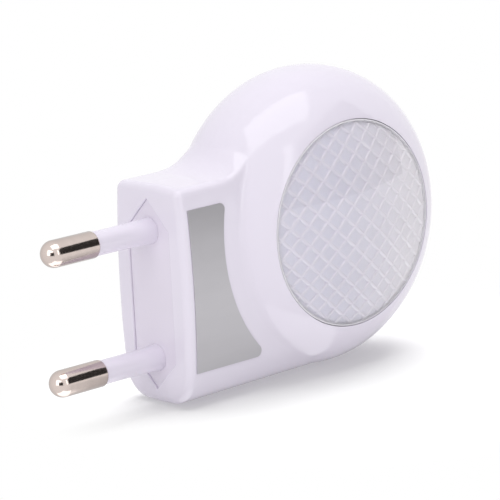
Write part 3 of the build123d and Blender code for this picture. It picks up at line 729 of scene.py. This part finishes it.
# %% [markdown]
# ## Outlet, sensor window and inside parts
# The parts behind the casing keep their CAD form, as smooth copies, and each kind of part has its
# own finish. The window over the sensor is smoked plastic, and the outlet is stamped steel.

# %% Finishes of the inside parts
other_finishes = {
    "reflector_white": drifting("reflector_white", (0.86, 0.86, 0.87), 0.3, deep=0.95, grain=1.5),
    "board_green": drifting("board_green", (0.03, 0.16, 0.06), 0.35, deep=0.6, grain=0.8,
                            relief=0.02),
    "led_yellow": drifting("led_yellow", (0.85, 0.68, 0.16), 0.35, deep=0.85, grain=0.4),
    "brass": drifting("brass", (0.80, 0.60, 0.28), 0.25, deep=0.85, grain=0.5, Metallic=1.0),
    "ferrite_grey": drifting("ferrite_grey", (0.07, 0.07, 0.075), 0.6, deep=0.7, grain=0.3,
                             relief=0.05),
    "bobbin_cream": drifting("bobbin_cream", (0.72, 0.66, 0.50), 0.4, deep=0.93, grain=1.0),
    "tape_yellow": drifting("tape_yellow", (0.80, 0.62, 0.06), 0.3, deep=0.9, grain=0.6,
                            stretch=(0.3, 0.3, 2)),
    "can_black": drifting("can_black", (0.03, 0.03, 0.035), 0.35, deep=0.7, grain=0.8),
    "disc_blue": drifting("disc_blue", (0.03, 0.12, 0.42), 0.35, deep=0.85, grain=0.8,
                          relief=0.03),
    "chip_black": drifting("chip_black", (0.025, 0.025, 0.027), 0.55, deep=0.7, grain=0.2,
                           relief=0.02),
    "resistor_grey": drifting("resistor_grey", (0.30, 0.32, 0.34), 0.5, deep=0.9, grain=0.4),
    "outlet_steel": drifting("outlet_steel", (0.66, 0.66, 0.67), 0.22, deep=0.88, grain=0.4,
                             spread=0.12, relief=0.006, stretch=(0.2, 1, 1), Metallic=1.0),
    "outlet_white": drifting("outlet_white", (0.80, 0.79, 0.80), 0.35, deep=0.95, grain=0.8),
    "photocell_face": drifting("photocell_face", (0.62, 0.36, 0.14), 0.4, deep=0.75, grain=0.5),
    "window_smoke": drifting("window_smoke", (0.10, 0.09, 0.11), 0.12, deep=0.8, grain=2.0,
                             IOR=1.49, Transmission_Weight=0.5),
}
print(len(other_finishes), "finishes for the inside parts")

# %% Dress the inside parts
finish_of = {
    "reflector_left": "reflector_white", "reflector_right": "reflector_white",
    "led_board_left": "board_green", "led_board_right": "board_green", "main_board": "board_green",
    "leds_left": "led_yellow", "leds_right": "led_yellow",
    "standoffs_left": "outlet_white", "standoffs_right": "outlet_white",
    "usb_tongue": "outlet_white",
    "link_pins_left": "brass", "link_pins_right": "brass", "usb_contacts": "brass",
    "contact_upper": "brass", "contact_lower": "brass",
    "transformer_core": "ferrite_grey", "transformer_bobbin": "bobbin_cream",
    "transformer_winding": "tape_yellow", "input_capacitor": "can_black",
    "output_capacitor": "can_black", "safety_capacitor": "disc_blue",
    "bridge_rectifier": "chip_black", "control_chip": "chip_black", "output_diode": "chip_black",
    "fusible_resistor": "resistor_grey", "usb_shell": "outlet_steel",
    "photocell": "photocell_face", "photocell_window": "window_smoke",
}
for node, slot in finish_of.items():
    finish_piece(smooth_copy(node, node + "_part"), other_finishes[slot], slot, node)

# %% [markdown]
# ## Floor
# A plain white floor takes the soft shadow. A bigger floor would still end in an edge, so away from
# the shadow it turns into an even white instead, for the camera and for reflections. Its own tone
# is lighter for the camera than for the light that it throws back on the casing.

# %% Floor
FLOOR_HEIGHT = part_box("shell_left")[0].z
FLOOR_SIZE = 6
bpy.ops.object.select_all(action="DESELECT")
bpy.ops.mesh.primitive_plane_add(size=FLOOR_SIZE, location=(0, 0, FLOOR_HEIGHT))
floor = in_place(bpy.context.object, "floor")
floor_white, nodes, links, shader = start_material("floor_white", (0.8, 0.8, 0.8), 0.9,
                                                   Specular_IOR_Level=0.0)
floor.data.materials.append(floor_white)
print("floor at", round(FLOOR_HEIGHT / MM, 2), "mm")

# %% Floor's fade to white
SHADOW_X, SHADOW_Y = 0.030, -0.008
FADE_START, FADE_END = 0.030, 0.055
WHITE_AT_LEAST = 0.19
light_path = nodes.new("ShaderNodeLightPath")
seen = math_node(nodes, links, "MAXIMUM", light_path.outputs["Is Camera Ray"],
                 light_path.outputs["Is Glossy Ray"])
where = nodes.new("ShaderNodeTexCoord")
mapping = nodes.new("ShaderNodeMapping")
mapping.inputs["Location"].default_value = (-SHADOW_X, -SHADOW_Y, 0)
distance = nodes.new("ShaderNodeVectorMath")
distance.operation = "LENGTH"
fade = nodes.new("ShaderNodeMapRange")
fade.interpolation_type = "SMOOTHSTEP"
fade.inputs["From Min"].default_value = FADE_START
fade.inputs["From Max"].default_value = FADE_END
fade.inputs["To Min"].default_value = WHITE_AT_LEAST
tone = nodes.new("ShaderNodeMix")
tone.data_type = "RGBA"
tone.inputs["A"].default_value = (0.50, 0.50, 0.50, 1)
tone.inputs["B"].default_value = (0.80, 0.80, 0.80, 1)
glow = nodes.new("ShaderNodeEmission")
mix = nodes.new("ShaderNodeMixShader")
join(
    links,
    (where.outputs["Object"], mapping.inputs["Vector"]),
    (mapping.outputs["Vector"], distance.inputs[0]),
    (distance.outputs["Value"], fade.inputs["Value"]),
    (light_path.outputs["Is Camera Ray"], tone.inputs["Factor"]),
    (tone.outputs["Result"], shader.inputs["Base Color"]),
    (math_node(nodes, links, "MULTIPLY", fade.outputs["Result"], seen), mix.inputs["Fac"]),
    (shader.outputs["BSDF"], mix.inputs[1]), (glow.outputs["Emission"], mix.inputs[2]),
    (mix.outputs["Shader"], nodes["Material Output"].inputs["Surface"]),
)
print("floor fades to white from", round(FADE_START / MM), "to", round(FADE_END / MM), "mm")

# %% [markdown]
# ## Lamps
# White plastic shows its form by soft reflections, so every lamp is a soft box. The key, high on
# the lens's side, gives the broad reflection on the head, and the narrow strip under it carries
# that down. The front box lights the plug's end, and the rim box the top from behind. The back box
# lights only the floor, so it shapes the shadow and leaves the casing alone. The box under the
# floor stands for the light that a white table throws back up.

# %% Lamps
HEAD = Vector((HEAD_X, 0, HEAD_Z)) * MM


def heading(azimuth, elevation):
    """Unit vector of an azimuth and an elevation in degrees; azimuth 0 is +X, -90 is -Y."""
    turn, lift = radians(azimuth), radians(elevation)
    return Vector((cos(turn) * cos(lift), sin(turn) * cos(lift), sin(lift)))


def soft_box(name, azimuth, elevation, distance, size_x, size_y, radiance):
    """Area lamp at that heading from the head, turned to it; radiance 1 looks as white as paper."""
    place = HEAD + heading(azimuth, elevation) * distance
    bpy.ops.object.light_add(type="AREA", location=place)
    lamp = bpy.context.object
    lamp.name = name
    lamp.data.shape = "RECTANGLE"
    lamp.data.size = size_x
    lamp.data.size_y = size_y
    lamp.data.energy = radiance * size_x * size_y * pi
    lamp.rotation_euler = (place - HEAD).to_track_quat("Z", "Y").to_euler()
    print(name, "at, mm:", [round(value / MM) for value in place], round(lamp.data.energy, 2), "W")
    return lamp


# azimuth and elevation in degrees, distance, width and height in metres, radiance
key = soft_box("key", -104, 72, 0.78, 0.76, 0.52, 1.75)
strip = soft_box("strip", -93, 20, 0.75, 0.10, 0.50, 1.6)
front = soft_box("front", -165, 18, 0.85, 0.64, 0.60, 1.30)
rim = soft_box("rim", 30, 55, 0.80, 0.50, 0.50, 1.75)
back = soft_box("back", 38, 76, 0.80, 0.75, 0.75, 5.4)
under = soft_box("under", -90, -84, 0.50, 0.60, 0.60, 1.05)
rim.visible_glossy = False
back.visible_glossy = False

# %% [markdown]
# Light linking says what each lamp lights. A collection that lists the floor as left out stands for
# everything but the floor. Given as the blockers of the lamp under the floor, it also lets that
# lamp shine through.

# %% What each lamp lights
only_floor = bpy.data.collections.new("only_floor")
only_floor.objects.link(floor)
back.light_linking.receiver_collection = only_floor
not_floor = bpy.data.collections.new("not_floor")
not_floor.objects.link(floor)
not_floor.collection_objects[0].light_linking.link_state = "EXCLUDE"
for lamp in (key, strip, front, under):
    lamp.light_linking.receiver_collection = not_floor
under.light_linking.blocker_collection = not_floor
print("lamps that skip the floor:", [lamp.name for lamp in (key, strip, front, under)])

# %% [markdown]
# Polished metal in a white room has no contrast. Two dark cards that only reflections see give it:
# the side card draws the dark band along the pins, and the front card the dark spot on their tips.

# %% Dark cards
card_dark = start_material("card_dark", (0.02, 0.019, 0.018), 0.9)[0]


def dark_card(name, start, facing, distance, width, height):
    """A dark card that only reflections see, that far from a point and turned to it."""
    bpy.ops.object.select_all(action="DESELECT")
    bpy.ops.mesh.primitive_plane_add(
        size=1, location=start + facing * distance,
        rotation=(radians(90), 0, atan2(facing.y, facing.x) + pi / 2))
    bpy.context.object.scale = (width, height, 1)
    card = in_place(bpy.context.object, name)
    card.data.materials.append(card_dark)
    card.visible_camera = False
    card.visible_diffuse = False
    card.visible_shadow = False
    card.visible_transmission = False
    print(name, "box, mm:", [round(size / MM) for size in card.dimensions])


BESIDE_PINS = Vector((-0.029, -0.014, FLOOR_HEIGHT + 0.128))
TIPS = Vector((-0.018, 0, 0))
dark_card("side_card", BESIDE_PINS, heading(-46, 0), 0.27, 0.28, 0.23)
dark_card("front_card", TIPS, heading(-142, 6), 0.30, 0.19, 0.20)

# %% [markdown]
# ## White room
# The world fills the shade from all round. It is plain white where the camera, a reflection or the
# clear cover sees it, and dimmer as a light, so that the white casing doesn't clip.

# %% White room
ROOM_FOR_LIGHT = 0.57
world = bpy.data.worlds.new("white_room")
bpy.context.scene.world = world
world.use_nodes = True
nodes, links = world.node_tree.nodes, world.node_tree.links
background = nodes["Background"]
background.inputs["Color"].default_value = (1, 1, 1, 1)
light_path = nodes.new("ShaderNodeLightPath")
seen = math_node(nodes, links, "MAXIMUM", light_path.outputs["Is Camera Ray"],
                 light_path.outputs["Is Glossy Ray"])
seen = math_node(nodes, links, "MAXIMUM", seen, light_path.outputs["Is Transmission Ray"])
share = math_node(nodes, links, "MULTIPLY", seen, 1 - ROOM_FOR_LIGHT)
links.new(math_node(nodes, links, "ADD", share, ROOM_FOR_LIGHT), background.inputs["Strength"])
bpy.context.scene.view_settings.view_transform = "Standard"
print("room lights at", ROOM_FOR_LIGHT, "and looks like 1")
